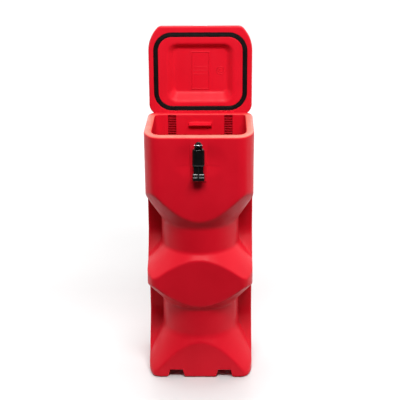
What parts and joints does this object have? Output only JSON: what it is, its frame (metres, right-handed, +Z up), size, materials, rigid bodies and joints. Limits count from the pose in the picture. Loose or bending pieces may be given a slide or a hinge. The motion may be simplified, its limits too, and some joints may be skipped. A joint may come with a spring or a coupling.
{
  "type": "fire extinguisher box",
  "caption": "Tall top-opening moulded vehicle box for a fire extinguisher, waisted round the bottle, with a sealed hinged lid and a toggle latch.",
  "frame": {"origin": "on the ground, on the axis of the two waists that hold the bottle", "axes": "+Z up, +X to the right seen from the latch side, -Y towards the latch side"},
  "size_m": [0.25, 0.3024, 0.8087],
  "materials": {
    "red_shell": "satin moulded polyethylene, fine grain",
    "red_lid": "satin moulded polyethylene, fine grain",
    "black_rubber": "matt foam rubber",
    "black_latch": "glossy black nylon",
    "black_wire": "black coated wire",
    "black_cap": "plain",
    "zinc_steel": "zinc plated",
    "brass_insert": "turned"
  },
  "bodies": {
    "shell": {"body_shell": "red_shell", "mount_inserts": "brass_insert", "hinge_pin_left": "zinc_steel", "hinge_pin_right": "zinc_steel", "pin_cap_left": "black_cap", "pin_cap_right": "black_cap", "latch_base": "black_latch", "latch_rivets": "zinc_steel", "rivet_washers": "zinc_steel", "lever_pin": "zinc_steel", "lever_ring": "zinc_steel"},
    "lid": {"lid_shell": "red_lid", "lid_seal": "black_rubber", "vent_plug": "black_cap", "strike_plate": "black_latch", "strike_screws": "zinc_steel"},
    "lever": {"latch_lever": "black_latch"},
    "bail": {"latch_bail": "black_wire"}
  },
  "joints": [
    {"name": "lid_hinge", "type": "hinge", "parent": "shell", "child": "lid", "pos_m": [0, 0.1155, 0.586], "axis": [1, 0, 0], "range_deg": [0, 92.5]},
    {"name": "lever_hinge", "type": "hinge", "parent": "shell", "child": "lever", "pos_m": [0, -0.115, 0.592], "axis": [-1, 0, 0], "range_deg": [0, 110]},
    {"name": "bail_hinge", "type": "hinge", "parent": "lever", "child": "bail", "pos_m": [0, -0.1137, 0.582], "axis": [1, 0, 0], "range_deg": [-90, 0]}
  ]
}
